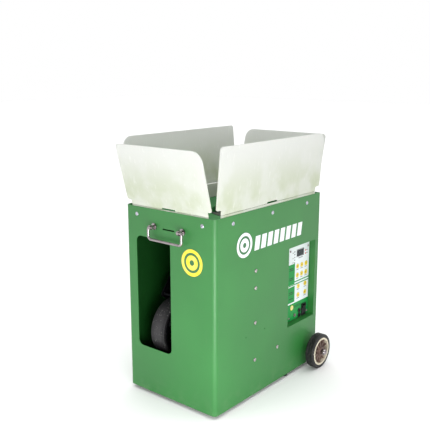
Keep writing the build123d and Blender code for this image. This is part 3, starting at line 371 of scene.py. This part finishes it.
def rim_rivets():
    """All ten blind rivets as one mesh: the profile of pin, dome, shank and tail turned at each hole."""
    height = 490 * MM
    profile = np.array(RIVET_PIN + RIVET_DOME + RIVET_TAIL) * MM
    back_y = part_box("rear_panel")[1][1]
    spots = [((x, front_y, height), "y", -1) for x in (-110 * MM, 110 * MM)]
    spots += [((x, back_y, height), "y", 1) for x in (-110 * MM, 110 * MM)]
    spots += [((s * side_x, y, height), "x", s) for s in (-1, 1) for y in (-165 * MM, 0, 165 * MM)]
    heads = [turned("rivet", profile, at, 40, axis, facing) for at, axis, facing in spots]
    with bpy.context.temp_override(active_object=heads[0], selected_editable_objects=heads):
        bpy.ops.object.join()
    heads[0].name = "rivet_heads"
    return heads[0]


rivets = rim_rivets()
rivets.data.materials.append(zinc)
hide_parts("rim_rivets")
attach(rivets, "case")


# ---- Hopper flaps ---------------------------------------------------------------------------------
# Four frosted polypropylene sheets, die cut, that stand up from a living hinge along the rim and lean
# outwards under the load. They are milky, brightest at the cut edges, and carry painted yellow-green ball
# shade low down.

def frosted(name, fold_z, top_z):
    """Milky sheet: white at the top, painted yellow-green ball shade low down, with fine felt scuffs."""
    sheet = Coat(name, Transmission_Weight=0.22, IOR=1.45, Specular_IOR_Level=0.4)
    clouds = sheet.grain(14, 3)
    # Painted shade: blotchy yellow-green shade of balls, strongest near the fold and gone by the top.
    rubbed = (1 - sheet.z.rise(fold_z, top_z)) * (0.4 + 0.6 * clouds.rise(0.36, 0.64))
    scuffs = sheet.grain(150, 3, (1, 1, 0.25)).rise(0.6, 0.72)
    colours = sheet.mixed(rubbed * 0.6, tint(230, 232, 227), tint(174, 188, 134))
    colours = sheet.mixed(scuffs * 0.25, colours, tint(255, 255, 252))
    return sheet.cover(colours, 0.42 + 0.16 * clouds + 0.12 * scuffs, sheet.grain(800, 2), 0.00008)


flap_plastic = frosted("frosted_sheet", 513 * MM, 675 * MM)
finish_cad(flap_plastic, "hinge_strips")

FLAP_T, FLAP_H, NOTCH = 3 * MM, 163 * MM, 13 * MM
SMALL_R, LARGE_R, SHOULDER_R = 9 * MM, 27 * MM, 5 * MM
SLOT_HALF, SLOT_TOP = 23 * MM, 4 * MM
FLAP_BOW = 0.3 * MM
HAIR = 1e-6


def flap_sheet(name, fold_point, across, lean, half, tongue_half):
    """Flap seen from outside: s runs from -1 at its left edge to 1 at its right, and v up from the fold.
    Its half width is the tongue's below the notch and the flap's above, less a quarter round at each corner,
    and its middle bows outwards by a sine of v times (1 - s squared). The wall's thickness is added after."""
    across = np.asarray(across, float)
    level = np.cross((0, 0, 1), across)
    up = np.array((0, 0, cos(lean))) - sin(lean) * level
    out = np.cross(across, up)
    quarter = 1 - np.cos(np.linspace(0, pi / 2, 9))
    tongue = [np.linspace(0, SLOT_TOP, 3), np.linspace(SLOT_TOP, NOTCH, 4)[1:]]
    plain = np.linspace(NOTCH + SHOULDER_R, FLAP_H - LARGE_R, 12)[1:]
    rounded = FLAP_H - LARGE_R + LARGE_R * np.sin(np.linspace(0, pi / 2, 13))[1:]
    rise = np.concatenate([*tongue, NOTCH + HAIR + SHOULDER_R * quarter, plain, rounded])
    rise = np.union1d(rise, FLAP_H - SMALL_R + SMALL_R * np.sin(np.linspace(0, pi / 2, 9)))
    short = np.where(rise > NOTCH, half, tongue_half)

    def edge(radius):
        """Half width at each height, less the rounded top corner and the small round above the notch."""
        top = np.clip(rise - (FLAP_H - radius), 0, radius)
        low = np.where(rise > NOTCH, np.clip(NOTCH + SHOULDER_R - rise, 0, SHOULDER_R), 0)
        corner = radius - np.sqrt(radius ** 2 - top ** 2)
        shoulder = SHOULDER_R - np.sqrt(SHOULDER_R ** 2 - low ** 2)
        return short - corner - shoulder

    slot = SLOT_HALF / tongue_half
    outer, inner = np.linspace(slot, 1, 12), np.linspace(-slot, slot, 5)[1:-1]
    s = np.concatenate([-outer[::-1], inner, outer])
    s, v = np.meshgrid(s, rise)
    reach = np.where(s > 0, edge(LARGE_R)[:, None], edge(SMALL_R)[:, None])
    bow = FLAP_BOW * np.sin(pi * v / FLAP_H) * (1 - s ** 2)
    flat = np.asarray(fold_point) + (s * reach)[..., None] * across + v[..., None] * up
    points = flat + bow[..., None] * out
    middle = (s[:-1, :-1] + s[:-1, 1:]) / 2
    cut = (abs(middle) < slot) & (v[1:, :-1] <= SLOT_TOP + HAIR)
    made = skin(name, points, left_out=cut)
    thick = made.modifiers.new("sheet thickness", "SOLIDIFY")
    thick.thickness = FLAP_T
    thick.offset = 0
    soft = made.modifiers.new("cut edge", "BEVEL")
    soft.width = 0.7 * MM
    soft.segments = 3
    soft.limit_method = "ANGLE"
    soft.angle_limit = radians(50)
    made.data.shade_smooth()
    made.data.materials.append(flap_plastic)
    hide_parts(name)
    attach(made, name)
    return made


FOLD_Z, FOLD_STEP = 513.5 * MM, 3.5 * MM
fold_y = front_y + 3 * MM
fold_x = side_x - 3 * MM
made_flaps = [
    ("flap_front", (0, fold_y, FOLD_Z), (1, 0, 0), radians(15), 140 * MM, 127 * MM),
    ("flap_rear", (0, -fold_y, FOLD_Z), (-1, 0, 0), radians(15), 140 * MM, 127 * MM),
    ("flap_right", (fold_x, 0, FOLD_Z + FOLD_STEP), (0, 1, 0), radians(5), 227 * MM, 208 * MM),
    ("flap_left", (-fold_x, 0, FOLD_Z + 2 * FOLD_STEP), (0, -1, 0), radians(5), 227 * MM, 208 * MM),
]
for flap in made_flaps:
    flap_sheet(*flap)


# ---- Lifting handle -------------------------------------------------------------------------------
# A bent steel bail in two eye posts on the front wall, all bright chrome. The plating is a little hazy
# where hands hold it and nicked at the eyes.

def chrome_plate():
    """Bright chrome with a faint haze and small nicks."""
    metal = Coat("chrome_plate", Metallic=1.0)
    haze = metal.grain(90, 3)
    nicks = metal.grain(700, 1).rise(0.72, 0.8)
    hazy = metal.mixed(haze, tint(184, 176, 178), tint(132, 124, 126))
    colours = metal.mixed(nicks, hazy, tint(70, 62, 60))
    return metal.cover(colours, 0.12 + 0.14 * haze + 0.3 * nicks, haze + nicks, 0.00005)


chrome = chrome_plate()
finish_cad(chrome, "handle_posts", "bail_handle", "cap_nuts")


# ---- Control plate --------------------------------------------------------------------------------
# A steel plate in a recess of the right wall, with a printed film: white fields for the keys, green
# columns with their headings, and green round the sockets. Headings are plain bars.

PLATE_X = 132 * MM
KEYS = [(154, 307), (176, 307), (198, 307), (154, 281), (176, 281), (198, 281), (160, 247), (196, 247),
        (160, 221), (196, 221)]


def plate_print():
    """Printed film of the control plate, each field and bar laid out in y and z on the plate."""
    film = Coat("plate_print", Specular_IOR_Level=0.25)

    def field(y0, y1, z0, z1):
        """1 inside a rectangle of the plate, given in mm, else 0."""
        across = film.y.near((y0 + y1) / 2 * MM, (y1 - y0) / 2 * MM)
        return across * film.z.near((z0 + z1) / 2 * MM, (z1 - z0) / 2 * MM)

    def together(fields):
        """1 wherever any of the fields is 1."""
        total = fields[0]
        for more in fields[1:]:
            total = total.most(more)
        return total

    white, green = tint(226, 233, 234), tint(14, 142, 62)
    dark, deep, gold = tint(44, 50, 54), tint(18, 48, 28), tint(228, 210, 60)
    greens = together([field(109, 141, 258, 318), field(109, 142, 205, 252), field(109, 214, 150, 201),
                       field(141, 214, 262, 265.5), field(109, 214, 254.5, 257.5)])
    aged = film.mixed(film.grain(25, 4).rise(0.45, 0.8) * 0.35, white, tint(214, 220, 212))
    colours = film.mixed(greens, aged, green)
    headings = together([field(113, 134, z - 1.2, z + 1.2) for z in (306, 301, 278, 273, 236, 231, 217)]
                        + [field(139, 176, z - 0.8, z + 0.8) for z in (191, 187)])
    colours = film.mixed(headings * film.grain(900, 1).rise(0.3, 0.42), colours, deep)
    badge = film.away(130 * MM, 189 * MM)
    colours = film.mixed(badge < 7.5 * MM, colours, gold)
    colours = film.mixed(badge.near(4.2 * MM, 0.8 * MM), colours, white)
    names = [field(y - 6.5, y + 6.5, z - 10.6, z - 9) for y, z in KEYS]
    names += [field(136, 141, z - 1.6, z + 1.6) for z in (352, 344, 336, 328, 320)]
    names += [field(127, 133, z - 1, z + 1) for z in (350, 334, 322)]
    names += [field(199, 206, 345, 347), field(199, 206, 336, 338), field(158, 180, 329, 331)]
    colours = film.mixed(together(names) * 0.85, colours, dark)
    rings = together([film.away(y * MM, z * MM).near(7.7 * MM, 0.5 * MM) for y, z in KEYS])
    colours = film.mixed(rings * 0.6, colours, tint(176, 186, 182))
    frame_line = field(148, 185, 334, 356) * (1 - field(149, 184, 335, 355))
    colours = film.mixed(frame_line, colours, dark)
    rubbed = film.grain(80, 5).rise(0.5, 0.75)
    return film.cover(colours, 0.38 + 0.15 * rubbed, film.grain(500), 0.00005)


finish_cad(plate_print(), "control_panel")


# ---- Keys -----------------------------------------------------------------------------------------
# Ten moulded keys with a dished top and a rolled edge, glossy yellow, each with a short printed bar in
# the middle. They sit in the plate's holes and press inwards.

def key_plastic():
    """Glossy yellow, a printed bar in the dish, and a greyish shine where fingers press."""
    plastic = Coat("key_yellow", Coat_Weight=0.5, Coat_Roughness=0.12, Subsurface_Weight=0.05)
    spot = plastic.add("ShaderNodeAttribute", {"attribute_name": "across"}, output="Vector")
    split = plastic.add("ShaderNodeSeparateXYZ", {}, [spot]).socket.node
    y, z = Amount(plastic, split.outputs[1]), Amount(plastic, split.outputs[2])
    out = (y * y + z * z).root()
    sign = y.near(0, 2.6 * MM) * (z.near(1.2 * MM, 0.7 * MM).most(z.near(-1.2 * MM, 0.7 * MM)))
    rubbed = plastic.grain(200, 3) * (1 - out.rise(2 * MM, 6 * MM))
    colours = plastic.mixed(rubbed * 0.3, tint(238, 205, 22), tint(205, 180, 60))
    printed = plastic.mixed(sign, colours, tint(66, 62, 40))
    return plastic.cover(printed, 0.25 + 0.2 * rubbed, plastic.grain(900), 0.00003)


key_yellow = key_plastic()
KEY_DISH = [(0, 0.75), (2.5, 0.8), (4.2, 0.98), (5.2, 1.22), (5.75, 1.3), (6.15, 1.2), (6.4, 0.9), (6.5, 0.5)]
KEY_FLANGE = [(6.5, -3.1), (7.5, -3.15), (7.5, -3.3), (0, -3.3)]
for number, (key_y, key_z) in enumerate(KEYS, 1):
    centre = np.array((PLATE_X, key_y * MM, key_z * MM))
    key = turned(f"key_cap_{number}", np.array(KEY_DISH + KEY_FLANGE) * MM, centre, 48)
    spots = np.empty(len(key.data.vertices) * 3)
    key.data.vertices.foreach_get("co", spots)
    across = key.data.attributes.new("across", "FLOAT_VECTOR", "POINT")
    across.data.foreach_set("vector", (spots.reshape(-1, 3) - centre).ravel())
    key.data.materials.append(key_yellow)
    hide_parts(f"key_{number}")
    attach(key, f"key_{number}")


# ---- Display, lamps, sockets and power switch -----------------------------------------------------
# A smoked acrylic lens over a numeric display, two red lamps, two moulded charging jacks, a threaded
# sensor socket and a rocker switch in a snap-in bezel.

def display_lens():
    """Dark smoked lens with three lit figures of seven bars each, and finger smears."""
    lens = Coat("display_lens", Specular_IOR_Level=0.2, Emission_Strength=0.2)
    lit = None
    bars_on = {0: "abcdef", 2: "abged"}
    places = {"a": (0, 5), "g": (0, 0), "d": (0, -5),
              "f": (-2.3, 2.5), "b": (2.3, 2.5), "e": (-2.3, -2.5), "c": (2.3, -2.5)}
    for column, figure in ((159, 2), (166.5, 0), (174, 0)):
        for bar in bars_on[figure]:
            dy, dz = places[bar]
            wide, high = (1.9, 0.55) if bar in "agd" else (0.55, 2.0)
            on = lens.y.near((column + dy) * MM, wide * MM) * lens.z.near((345 + dz) * MM, high * MM)
            lit = on if lit is None else lit.most(on)
    glow = lit * (lens.x > PLATE_X)
    smears = lens.grain(120, 3, (1, 1, 0.4))
    lens.feed(lens.shader.inputs["Emission Color"], lens.mixed(glow, (0, 0, 0, 1), tint(150, 190, 175)))
    colours = lens.mixed(smears * 0.3, tint(30, 34, 40), tint(62, 66, 70))
    return lens.cover(colours, 0.1 + 0.3 * smears, smears, 0.00002)


def moulded(name, colour, worn, rough=0.5, coarse=900, depth=0.0001, **fixed):
    """Moulded plastic: spark-eroded texture, cloudy wear and pale scuffs."""
    plastic = Coat(name, **fixed)
    wear = plastic.grain(45, 4)
    scuffs = plastic.grain(170, 4, (1, 0.3, 1)).rise(0.63, 0.7)
    colours = plastic.mixed(wear.rise(0.35, 0.8) * 0.6, colour, worn)
    colours = plastic.mixed(scuffs * 0.3, colours, worn)
    return plastic.cover(colours, rough + 0.12 * wear + 0.1 * scuffs, plastic.grain(coarse, 2), depth)


finish_cad(display_lens(), "display_window")
lamp_red = moulded("lamp_red", tint(214, 40, 36), tint(240, 120, 100), 0.12, Coat_Weight=0.6)
finish_cad(lamp_red, "status_leds")
black_plastic = moulded("black_plastic", tint(22, 22, 24), tint(46, 46, 48), 0.4, Specular_IOR_Level=0.25)
finish_cad(black_plastic, "power_jacks", "rocker_bezel", "rocker_switch", "axle_bushes")


# ---- Control board --------------------------------------------------------------------------------
# A fibreglass circuit board behind the plate: green solder resist over copper runs.

def board_resist():
    """Green resist, with paler copper runs on a 2.5 mm grid that noise breaks up."""
    board = Coat("board_resist", Coat_Weight=0.4, Coat_Roughness=0.15)
    upright = (board.y % (2.5 * MM)).near(1.2 * MM, 0.3 * MM)
    runs = upright.most((board.z % (5 * MM)).near(2.5 * MM, 0.3 * MM))
    runs = runs * board.grain(90, 1).rise(0.5, 0.52)
    colours = board.mixed(runs, tint(20, 84, 44), tint(60, 140, 78))
    return board.cover(colours, 0.3 + 0.2 * board.grain(60), runs, 0.00004)


finish_cad(board_resist(), "control_board")


# ---- Road wheels ----------------------------------------------------------------------------------
# Solid rubber tyres pressed on moulded nylon hubs: a cream rim ring round a brown-grey spoked web. They
# run on a steel axle behind chromed cap nuts, and the tread has picked up court dust.

ROAD_X, ROAD_Y, ROAD_Z = 179.5 * MM, 201 * MM, 50 * MM


def rubber(name, colour, dust, centre_y, centre_z, tread_from):
    """Matt rubber, dusty on the tread beyond a radius, with faint moulding rings on the side."""
    tyre = Coat(name, Specular_IOR_Level=0.35)
    out = tyre.away(centre_y, centre_z)
    dusty = tyre.grain(160, 5).rise(0.45, 0.7) * out.rise(tread_from, tread_from + 1.5 * MM)
    rings = (out * 5200).wave()
    colours = tyre.mixed(dusty * 0.12, colour, dust)
    return tyre.cover(colours, 0.45 + 0.3 * dusty, rings * 0.3 + tyre.grain(1000, 3), 0.00008)


def road_tyre_profile():
    """Closed section of the tyre, as (radius, offset): crown with three grooves, round shoulders, side
    beads and the bore that grips the hub."""
    shoulder = [(46.4 + 3.6 * sin(a), 8.9 + 3.6 * cos(a)) for a in np.linspace(0, pi / 2, 7)]
    crown = [(50, 6.2), (49.9, 6), (48.9, 5.8), (48.9, 4.6), (50, 4.3), (50, 0.9), (48.9, 0.6)]
    side = [(40.05, 11.6), (41.2, 12.1), (42.4, 12.1), (43, 11.8), (44, 11.8), (44.6, 12.45)]
    half = side + shoulder + crown
    return [*half, *[(r, -x) for r, x in reversed(half)], (40.05, -6), (40.05, 6)]


wheel_rubber = rubber("road_rubber", tint(30, 30, 32), tint(120, 112, 100), ROAD_Y, ROAD_Z, 46 * MM)
for side_name, sign in (("right", 1), ("left", -1)):
    wheel_at = (sign * ROAD_X, ROAD_Y, ROAD_Z)
    tyre = turned(f"tyre_{side_name}", np.array(road_tyre_profile()) * MM, wheel_at, 128)
    tyre.data.materials.append(wheel_rubber)
    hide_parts(f"road_tyre_{side_name}")
    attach(tyre, f"road_wheel_{side_name}")


def hub_nylon():
    """Cream rim ring, brown-grey web inside it, both with moulding grain and dust in the corners."""
    hub = Coat("hub_nylon")
    out = hub.away(ROAD_Y, ROAD_Z)
    wear = hub.grain(120, 4)
    web = hub.mixed(wear.rise(0.35, 0.75), tint(104, 84, 76), tint(134, 112, 102))
    ring = hub.mixed(wear.rise(0.4, 0.8), tint(222, 214, 192), tint(190, 178, 150))
    colours = hub.mixed(out.rise(34.6 * MM, 35.2 * MM), web, ring)
    return hub.cover(colours, 0.42 + 0.2 * wear, hub.grain(700, 2), 0.0001)


finish_cad(hub_nylon(), "road_hub_right", "road_hub_left")
finish_cad(moulded("foot_rubber", tint(28, 28, 30), tint(80, 78, 74), 0.6), "rubber_feet")
axle_steel = plated("axle_steel", tint(176, 176, 182), 0.3, tint(120, 118, 118))
finish_cad(axle_steel, "wheel_axle")


# ---- Throwing wheels ------------------------------------------------------------------------------
# Two black hubs with a soft rubber tread bonded on and dished a little to grip the ball. The tread is cut
# with fine grooves that carry painted shade, glazed by felt in the middle with a painted sheen, and specked
# with pale fluff.

HEAD_X, PIVOT_Y, PIVOT_Z, HALF_NIP, LAUNCH = -56 * MM, -77 * MM, 253 * MM, 105 * MM, radians(38)


def wheel_centre(sign):
    """Axle of the upper (1) or lower (-1) wheel: half the spacing along the tilted head."""
    return HEAD_X, PIVOT_Y + sign * HALF_NIP * sin(LAUNCH), PIVOT_Z + sign * HALF_NIP * cos(LAUNCH)


def tread_profile():
    """Closed section of the tread, as (radius, offset): a dished crown cut by fine grooves, chamfered
    shoulders, a step on each side and the bonded bore."""
    offset = np.linspace(-20, 20, 81)
    dish = 80 - 1.2 * (1 - (offset / 20) ** 2)
    lines = np.where((np.arange(81) % 8 == 4) & (abs(offset) < 19), 0.6, 0)
    crown = np.stack([dish - lines, offset], axis=1)
    low = [(72.05, -22.4), (73, -23), (79.3, -23), (79.8, -22.8), (80, -22.3)]
    high = [(r, -x) for r, x in reversed(low)]
    return np.vstack([low, crown, high])


def tread_rubber(name, sign):
    """Grey-black tread, lighter in the dish from felt glaze and painted sheen, painted shade along the
    grooves, specks of fluff and streaks across.
    """
    tyre = Coat(name, Specular_IOR_Level=0.45)
    _, centre_y, centre_z = wheel_centre(sign)
    glaze_and_sheen = 1 - abs(tyre.x - HEAD_X).rise(6 * MM, 20 * MM)
    streaks = tyre.grain(70, 4, (0.25, 1, 1))
    specks = tyre.grain(420, 2).rise(0.69, 0.73)
    rows = ((tyre.x - HEAD_X) % (4 * MM)).near(2 * MM, 0.8 * MM)
    # Felt glaze and painted sheen: the middle of the tread is streaked lighter grey.
    colours = tyre.mixed(glaze_and_sheen * streaks * 0.8, tint(26, 25, 27), tint(62, 60, 62))
    # Painted shade: darker bands along the fine grooves.
    colours = tyre.mixed(rows * 0.35, colours, tint(16, 16, 18))
    colours = tyre.mixed(specks * 0.8, colours, tint(206, 206, 196))
    return tyre.cover(colours, 0.62 - 0.2 * glaze_and_sheen * streaks, streaks + tyre.grain(1200, 2) * 0.5, 0.0002)


for wheel, sign in (("upper", 1), ("lower", -1)):
    tread = turned(f"tread_{wheel}", tread_profile() * MM, wheel_centre(sign), 160, sharp=60)
    tread.data.materials.append(tread_rubber(f"tread_{wheel}", sign))
    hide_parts(f"throw_tyre_{wheel}")
    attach(tread, f"throw_wheel_{wheel}")
    hub_axis = wheel_centre(sign)[1:]
    hub_black = plated(f"hub_black_{wheel}", tint(52, 52, 56), 0.4, tint(34, 34, 36), hub_axis)
    finish_cad(hub_black, f"throw_hub_{wheel}")


# ---- Throwing head and its drives -----------------------------------------------------------------
# Steel plates and a welded fork carry the wheels; their near-black colour is painted shade. Two enamelled
# gearmotors with brass pinions sweep and tilt the head, and two motors drive the wheels.

# Painted shade: the head's plates, fork and rail are coloured near black to sink into the shade in the case.
head_steel_dark_shade = plated("head_steel_dark_shade", tint(46, 46, 50), 0.5, tint(30, 30, 33), coarse=60)
finish_cad(head_steel_dark_shade, "yaw_table", "head_yoke", "pitch_frame", "side_rail")
post_alloy = plated("post_alloy", tint(190, 190, 194), 0.24, tint(150, 150, 150), (PIVOT_Y, 54 * MM))
finish_cad(post_alloy, "yaw_post")
pinion_brass = plated("pinion_brass", tint(214, 176, 98), 0.24, tint(150, 116, 60))
finish_cad(pinion_brass, "yaw_pinion", "pitch_pinion")
motor_enamel = powder_coat("motor_enamel", tint(34, 34, 38), tint(96, 94, 90), tint(44, 44, 48))
finish_cad(motor_enamel, "yaw_gearmotor", "pitch_gearmotor", "throw_motors", "carousel_gearmotor")


# ---- Hopper tray, feeder and chute ----------------------------------------------------------------
# A green moulded tray whose floor slopes to a round well. A black five-pocket rotor carries balls to the
# drop hole, and they fall down a grey tube to a chute behind the throwing wheels.

finish_cad(moulded("tray_moulding", tint(46, 122, 62), tint(64, 132, 74), 0.5, 500), "hopper_tray")
finish_cad(moulded("rotor_moulding", tint(40, 41, 42), tint(92, 96, 78), 0.48), "carousel_star")
finish_cad(moulded("chute_grey", tint(128, 131, 134), tint(160, 164, 140), 0.45), "feed_tube", "feed_ramp")


# ---- Battery --------------------------------------------------------------------------------------
# A sealed block standing on the base, in a ribbed black case.

def battery_box():
    """Ribbed case: shallow upright ribs every 8 mm and dusty corners."""
    box = Coat("battery_box")
    ribs = [(along % (8 * MM)).near(4 * MM, 1.4 * MM) for along in (box.x, box.y)]
    wear = box.grain(50, 4)
    colours = box.mixed(wear, tint(36, 36, 40), tint(74, 72, 70))
    return box.cover(colours, 0.45 + 0.15 * wear, ribs[0].most(ribs[1]), 0.0004)


finish_cad(battery_box(), "battery")


# ---- Floor, light and camera ----------------------------------------------------------------------
# A pale studio floor under a wide overhead light, with three soft lamps: one high on the right, one on the
# left and a small low one near the front corner. Pale walls all round, dimmer high up in front.

def studio_floor():
    """Wide flat floor just under the feet."""
    x, y = np.meshgrid([-14.0, 14.0], [-14.0, 14.0])
    floor = skin("studio_floor", np.stack([x, y, np.zeros_like(x)], axis=-1))
    paper = Coat("studio_paper", Roughness=0.9)
    paper.cover(paper.mixed(paper.grain(3), (0.93, 0.93, 0.93, 1), (0.96, 0.96, 0.96, 1)))
    floor.data.materials.append(paper.material)
    return floor


def soft_lamp(name, place, turn, size, power):
    """Square soft lamp that faces along its own -Z, turned by the given angles in degrees."""
    lamp = bpy.data.lights.new(name, "AREA")
    lamp.size = size
    lamp.energy = power
    holder = bpy.data.objects.new(name, lamp)
    holder.location = place
    holder.rotation_euler = [radians(angle) for angle in turn]
    bpy.context.scene.collection.objects.link(holder)
    return holder


floor = studio_floor()
lamps = [soft_lamp("front_lamp", (2.2, -1.2, 1.5), (72, 0, 62), 1.4, 6),
         soft_lamp("low_lamp", (-0.9, -2.4, 0.9), (76, 0, -18), 1.2, 4),
         soft_lamp("corner_lamp", (0.55, -0.66, 0.2), (90, 0, 41), 0.3, 3.6)]
overhead = bpy.data.lights.new("overhead", "SUN")
overhead.energy = 1.5
overhead.angle = radians(70)
lamps.append(bpy.data.objects.new("overhead", overhead))
bpy.context.scene.collection.objects.link(lamps[-1])


class Surround(Coat):
    """The studio's walls and ceiling as a world: dim high up in front of the machine, pale all round else."""

    def __init__(self, name):
        self.world = bpy.data.worlds.new(name)
        self.world.use_nodes = True
        self.tree = self.world.node_tree
        way = self.add("ShaderNodeTexCoord", output="Generated")
        ahead = (0.62, -0.78, 0.0)
        towards = self.add("ShaderNodeVectorMath", {"operation": "DOT_PRODUCT"}, [way, ahead], "Value")
        up = self.add("ShaderNodeSeparateXYZ", {}, [way], 2)
        dim = towards.rise(-0.35, 0.55) * up.rise(0.28, 0.42)
        light = self.mixed(dim, (1, 1, 1, 1), (0.3, 0.3, 0.31, 1))
        self.feed(self.tree.nodes["Background"].inputs["Color"], light)


bpy.context.scene.world = Surround("studio").world
bpy.context.scene.view_settings.view_transform = "Standard"

eye = bpy.data.cameras.new("camera")
eye.sensor_width = 36
eye.lens = 55.886
camera = bpy.data.objects.new("camera", eye)
camera.location = (1.108, -1.390, 0.853)
camera.rotation_euler = (radians(90 - 12.391), 0, radians(39.634))
bpy.context.scene.collection.objects.link(camera)
bpy.context.scene.camera = camera
